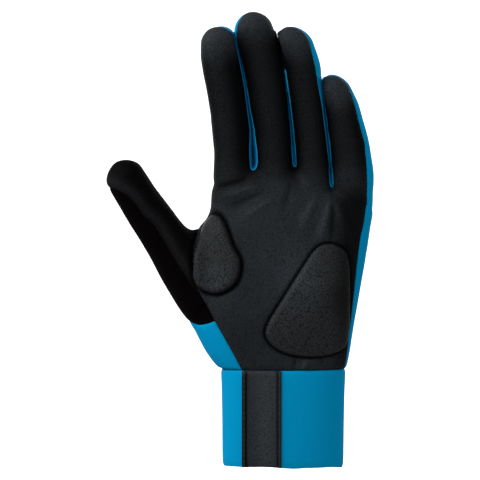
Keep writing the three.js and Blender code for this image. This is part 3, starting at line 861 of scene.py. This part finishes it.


# the attribute that a finish names holds painted light and shade, which its colour is multiplied by
cloth = {"vary": 0.04, "grain": 0.5, "bump": 0.25, "height": 0.05, "specular": 0.02}
finishes = {
    "palm_leather": {
        "color": (0.0165, 0.0195, 0.0225), "roughness": 0.55, "vary": 0.06, "mottle": 0.12, "paintedShadeAttribute": "paintedShade",
        "grain": 0.95, "grainShade": 0.36, "bump": 1.0, "height": 0.19, "specular": 0.04},
    # the palm leather again, darker for the thumb: painted shade
    "thumb_leather_painted_shade": {
        "color": (0.0028, 0.0027, 0.0031), "roughness": 0.7, "vary": 0.06, "mottle": 0.15, "paintedShadeAttribute": "paintedShade",
        "grain": 0.9, "grainShade": 0.3, "bump": 0.7, "height": 0.12, "specular": 0.025},
    "pad_leather": {
        "color": (0.017, 0.0196, 0.022), "roughness": 0.36, "vary": 0.04, "mottle": 0.08, "paintedShadeAttribute": "paintedShade",
        "grain": 0.95, "grainShade": 0.62, "bump": 1.0, "height": 0.3, "specular": 0.09},
    "strip_leather": {
        "color": (0.023, 0.0272, 0.0302), "roughness": 0.45, "vary": 0.05, "mottle": 0.1, "paintedShadeAttribute": "paintedShade",
        "grain": 0.85, "grainShade": 0.4, "bump": 0.9, "height": 0.16, "specular": 0.1},
    "thread": {
        "color": (0.024, 0.026, 0.028), "roughness": 0.6, "vary": 0.04, "mottle": 0.1,
        "grain": 0.3, "grainShade": 0.2, "bump": 0.5, "height": 0.05, "specular": 0.2},
    "suede": {
        "color": (0.0021, 0.0013, 0.0016), "roughness": 0.95, "vary": 0.04, "mottle": 0.3,
        "grain": 0.35, "grainShade": 0.4, "bump": 0.6, "height": 0.1, "specular": 0.0, "sheen": 0.012},
    "softshell": {
        **cloth, "color": (0, 0.255, 0.5), "roughness": 0.8, "mottle": 0.03, "grainShade": 0.06},
    # paler than the fourchette cloth it belongs to: painted highlight on the rolled lip
    "fork_edge": {
        **cloth, "color": (0.01, 0.3, 0.58), "roughness": 0.7, "mottle": 0.05, "grainShade": 0.05,
        "specular": 0.1},
    # darker than the softshell of the back: painted shade between the fingers
    "fourchette_cloth": {
        **cloth, "color": (0, 0.15, 0.36), "roughness": 0.85, "mottle": 0.05, "grainShade": 0.08,
        "paintedShadeAttribute": "webPaintedShade"},
}
print("materials")
looks = {name: grainMaterial(name, finish) for name, finish in finishes.items()}
softEdge = {"segments": 3, "angle": 50}


# A piece without a node is added to the glove and replaces nothing.
def finishPiece(obj, node, slot, wall=None, bevel=None, look=None):
    for poly in obj.data.polygons:
        poly.use_smooth = True
    if wall:
        solid = obj.modifiers.new("wall", "SOLIDIFY")
        solid.thickness = wall * mm
        solid.offset = -1
    if bevel:
        soft = obj.modifiers.new("bevel", "BEVEL")
        soft.width = bevel * mm
        soft.segments = softEdge["segments"]
        soft.limit_method = "ANGLE"
        soft.angle_limit = math.radians(softEdge["angle"])
    obj.data.materials.clear()
    obj.data.materials.append(looks[look or slot])
    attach(obj, "root")
    if node:
        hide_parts(node)


print("panels")
panelSlots = {
    "palm_panel": "palm_leather", "back_panel": "softshell", "fourchette_index_middle": "fourchette_cloth",
    "fourchette_middle_ring": "fourchette_cloth", "fourchette_ring_little": "fourchette_cloth",
    "thumb_palm_panel": "palm_leather", "thumb_back_panel": "suede",
}
# the thumb's leather panel takes the darker copy of the palm leather: painted shade
panelLooks = {"thumb_palm_panel": "thumb_leather_painted_shade"}
for node, slot in panelSlots.items():
    panel = form.copy()
    panel.faces.ensure_lookup_table()
    bmesh.ops.delete(panel, geom=[panel.faces[i] for i in np.nonzero(faceLabels != node)[0]], context="FACES")
    bmesh.ops.scale(panel, vec=(mm, mm, mm), verts=panel.verts)
    piece = objectOf(meshOf(panel, node), node + "_skin")
    finishPiece(piece, node, slot, wall=seam["wall"], look=panelLooks.get(node))
    print("  ", node, len(piece.data.polygons))

# The rolled edge of the cloth where it meets the palm leather, all round each slot. It thins to
# thinEnd of its radius over this many points at its ends.
forkEdge = {"radius": 0.34, "round": 2, "lift": 0.1, "step": 1.0, "smooth": 6, "thinEnd": 0.3, "taper": 45}


# The longest chain of vertices along these edges.
def edgeChain(edges):
    links = {}
    for edge in edges:
        a, b = edge.verts
        links.setdefault(a, []).append(b)
        links.setdefault(b, []).append(a)
    chains = []
    while links:
        start = next((v for v in links if len(links[v]) == 1), next(iter(links)))
        chain = [start]
        while True:
            here = chain[-1]
            nexts = [v for v in links.pop(here, []) if v in links]
            if not nexts:
                break
            chain.append(nexts[0])
        chains.append(chain)
    return max(chains, key=len)


print("fork edges")
for forkName in forks:
    node = "fourchette_" + forkName
    shared = []
    for edge in form.edges:
        if len(edge.link_faces) == 2:
            if {faceLabels[f.index] for f in edge.link_faces} == {node, "palm_panel"}:
                shared.append(edge)
    chain = edgeChain(shared)
    line = np.array([(v.co + v.normal * forkEdge["lift"])[:] for v in chain])
    for _ in range(forkEdge["smooth"]):
        line[1:-1] = line[1:-1] * 0.5 + (line[:-2] + line[2:]) * 0.25
    length = np.concatenate([[0], np.cumsum(np.linalg.norm(np.diff(line, axis=0), axis=1))])
    at = np.linspace(0, length[-1], int(length[-1] / forkEdge["step"]))
    line = np.stack([np.interp(at, length, line[:, k]) for k in range(3)], axis=1) * mm
    curve = bpy.data.curves.new("edge", "CURVE")
    curve.dimensions = "3D"
    curve.bevel_depth = forkEdge["radius"] * mm
    curve.bevel_resolution = forkEdge["round"]
    curve.use_fill_caps = True
    spline = curve.splines.new("POLY")
    spline.points.add(len(line) - 1)
    for k, (point, place) in enumerate(zip(spline.points, line)):
        point.co = (*place, 1)
        point.radius = min(1, forkEdge["thinEnd"] + min(k, len(line) - 1 - k) / forkEdge["taper"])
    piece = objectOf(curve, "edge")
    mesh = finishedMesh(piece)
    bpy.data.objects.remove(piece)
    finishPiece(objectOf(mesh, "fork_edge_" + forkName), None, "fourchette_cloth", look="fork_edge")
    print("  ", forkName, len(chain), round(length[-1], 1))

print("pads")
faceCentres = np.array([f.calc_center_median()[:] for f in form.faces])
for node, pad in pads.items():
    outside = (padDistance(pad, faceCentres) <= 0) | (faceCentres[:, 1] >= padFrontY)
    top, bottom = form.copy(), form.copy()
    off = np.maximum(padOff[node], 0)
    edge = np.sqrt(1 - (1 - np.clip(off / pad["edge"], 0, 1)) ** 2)
    rise = pad["rise"] * edge + pad["crown"] * step01(off / pad["crownReach"])
    rise += moves * (1 - edge)
    for i, vert in enumerate(top.verts):
        if off[i] > 0:
            vert.co = Vector(places[i] + normals[i] * rise[i])
    for half in (top, bottom):
        half.faces.ensure_lookup_table()
        bmesh.ops.delete(half, geom=[half.faces[i] for i in np.nonzero(outside)[0]], context="FACES")
    bmesh.ops.reverse_faces(bottom, faces=bottom.faces)
    top.from_mesh(meshOf(bottom, "lower"))
    bmesh.ops.remove_doubles(top, verts=top.verts, dist=padWeld)
    bmesh.ops.scale(top, vec=(mm, mm, mm), verts=top.verts)
    piece = objectOf(meshOf(top, node), node + "_skin")
    finishPiece(piece, node, "pad_leather")


# The cuff: one level loft, cut into its cloth and the three pieces of its strip.
def cuffTube():
    bm = bmesh.new()
    addLoft(bm, levelRings(cuff["rows"], cuff["step"], cuff["sides"], cuff["power"]), capped=False)
    bmesh.ops.recalc_face_normals(bm, faces=bm.faces)
    return bm


def hemLift(x, y):
    height, centre, reach = hem["middle"]
    front = height * math.exp(-((x - centre) / reach) ** 2)
    for way, (height, start, reach) in ((x, hem["right"]), (-x, hem["left"])):
        front += height * float(step01((way - start) / reach))
    height, start, reach = hem["corner"]
    return front * float(step01(-y / hem["frontDepth"])) - height * float(step01((x - start) / reach))


def cuffFront(x, z):
    rows = np.array(cuff["rows"])
    left, right, front = (np.interp(z, rows[:, 0], rows[:, k]) for k in (1, 2, 3))
    across = abs(x - (left + right) / 2) / ((right - left) / 2)
    return front * (1 - across ** cuff["power"]) ** (1 / cuff["power"])


def cuffPiece(node, slot, span, inSpan, rise, wall, bevel):
    bm = cuffTube()
    left, right = span
    for x in [left, right] + [x + step * cuff["groove"] for x in grooves for step in cuff["grooveCuts"]]:
        bmesh.ops.bisect_plane(bm, geom=bm.verts[:] + bm.edges[:] + bm.faces[:], plane_co=(x, 0, 0),
                               plane_no=(1, 0, 0))
    gone = []
    for face in bm.faces:
        c = face.calc_center_median()
        within = left < c.x < right and c.y < cuff["frontY"]
        if within != inSpan:
            gone.append(face)
    bmesh.ops.delete(bm, geom=gone, context="FACES")
    bm.normal_update()
    # painted shade and light across the strip, and painted shade in the grooves at its borders' edges
    layer = bm.verts.layers.float.new("paintedShade")
    for vert in bm.verts:
        x, z = vert.co.x, vert.co.z
        paintedLight = float(step01((x - cuff["paintedLightFrom"]) / cuff["paintedLightReach"]))
        vert[layer] = cuff["paintedShadeLeft"] + cuff["paintedLightRise"] * paintedLight
        for groove in grooves:
            vert[layer] *= 1 - cuff["groovePaintedShade"] * math.exp(-((x - groove) / cuff["groove"]) ** 2)
        move = rise - seam["depth"] * math.exp(-(cuff["height"] - z) / seam["width"])
        move -= cuff["rollDip"] * math.exp(-z / cuff["roll"])
        lift = hemLift(x, vert.co.y) * math.exp(-z / hem["upTo"])
        vert.co += vert.normal * move
        vert.co.z += lift
    bmesh.ops.scale(bm, vec=(mm, mm, mm), verts=bm.verts)
    piece = objectOf(meshOf(bm, node), node + "_skin")
    finishPiece(piece, node, slot, wall=wall, bevel=bevel)


print("cuff")
left, right, border = cuff["stripLeft"], cuff["stripRight"], cuff["border"]
lap, stripLap, borderRise = cuff["lap"], cuff["stripLap"], cuff["borderRise"]
grooves = [x + off for x, off in zip((left, left + border, right - border, right), cuff["grooveOffs"])]
# slot, x span, whether the piece lies in its span or is all the rest, rise, wall, bevel
cuffPieces = {
    "cuff": ("softshell", (left + lap, right - lap), False, 0, cuff["wall"], 0.4),
    "cuff_strip": ("strip_leather", (left + border - stripLap, right - border + stripLap), True,
                   0.05, 1.4, 0.3),
    "cuff_strip_border_left": ("strip_leather", (left, left + border), True, borderRise, 0.6, 0.25),
    "cuff_strip_border_right": ("strip_leather", (right - border, right), True, borderRise, 0.6, 0.25),
}
for node, row in cuffPieces.items():
    cuffPiece(node, *row)
form.free()

print("stitches")
for side, x in {"left": left + stitch["inset"], "right": right - stitch["inset"]}.items():
    bm = bmesh.new()
    for k in range(int(cuff["height"] / stitch["pitch"])):
        z = (k + stitch["start"]) * stitch["pitch"]
        made = bmesh.ops.create_uvsphere(bm, u_segments=8, v_segments=6, radius=0.5)["verts"]
        bmesh.ops.scale(bm, vec=(stitch["width"], stitch["width"], stitch["length"]), verts=made)
        bmesh.ops.translate(bm, vec=(x, float(cuffFront(x, z)) - borderRise - stitch["proud"], z), verts=made)
    bmesh.ops.scale(bm, vec=(mm, mm, mm), verts=bm.verts)
    piece = objectOf(meshOf(bm, "stitches"), "strip_stitches_" + side)
    finishPiece(piece, None, "strip_leather", look="thread")

# Stage and light.
studio = {
    "floorZ": -60, "size": 3000, "backdropRadius": 2800, "backdropHeight": 5000, "paper": 0.9,
    "paperRough": 0.9, "glow": 0.92, "world": 0.46, "aim": (-20, 0, 130), "distance": 1400, "lampSize": 0.8,
    # way to each lamp from the glove, and its power in W
    "lamps": {
        "key": ((-0.9, -0.3, 0.7), 14.0), "keyFront": ((-0.7, -0.6, 0.6), 3.5),
        "soft": ((-0.35, -0.75, 0.6), 3.0), "fill": ((0.9, -0.35, 0.2), 1.6),
        "backRight": ((0.7, 0.8, 0.6), 5.0), "backLeft": ((-0.6, 0.9, 0.3), 3.0),
    },
}


def makeStage():
    bm = bmesh.new()
    bmesh.ops.create_grid(bm, x_segments=1, y_segments=1, size=studio["size"] * mm)
    bmesh.ops.translate(bm, vec=(0, 0, studio["floorZ"] * mm), verts=bm.verts)
    floor = objectOf(meshOf(bm, "floor"), "floor")
    bm = bmesh.new()
    radius, height = studio["backdropRadius"], studio["backdropHeight"]
    bmesh.ops.create_cone(bm, cap_ends=False, segments=96, radius1=radius * mm, radius2=radius * mm,
                          depth=height * mm)
    bmesh.ops.translate(bm, vec=(0, 0, (height / 2 + studio["floorZ"]) * mm), verts=bm.verts)
    bmesh.ops.reverse_faces(bm, faces=bm.faces)
    backdrop = objectOf(meshOf(bm, "backdrop"), "backdrop")
    mat, nodes, links, shader = newMaterial("paper", (studio["paper"],) * 3, studio["paperRough"])
    shader.inputs["Emission Color"].default_value = (1, 1, 1, 1)
    shader.inputs["Emission Strength"].default_value = studio["glow"]
    for obj in (floor, backdrop):
        obj.data.materials.append(mat)
        obj.visible_glossy = False
        obj.visible_diffuse = False
        obj.visible_shadow = False


def addLamp(name, way, power):
    data = bpy.data.lights.new(name, "AREA")
    data.energy = power
    data.size = studio["lampSize"]
    lamp = bpy.data.objects.new(name, data)
    bpy.context.collection.objects.link(lamp)
    way = Vector(way).normalized()
    lamp.location = (Vector(studio["aim"]) + way * studio["distance"]) * mm
    lamp.rotation_euler = way.to_track_quat("Z", "Y").to_euler()


print("stage")
makeStage()
for name, (way, power) in studio["lamps"].items():
    addLamp(name, way, power)
world = bpy.data.worlds.new("studio")
world.use_nodes = True
world.node_tree.nodes["Background"].inputs["Color"].default_value = (1, 1, 1, 1)
world.node_tree.nodes["Background"].inputs["Strength"].default_value = studio["world"]
bpy.context.scene.world = world
bpy.context.scene.view_settings.view_transform = "Standard"

print("done")
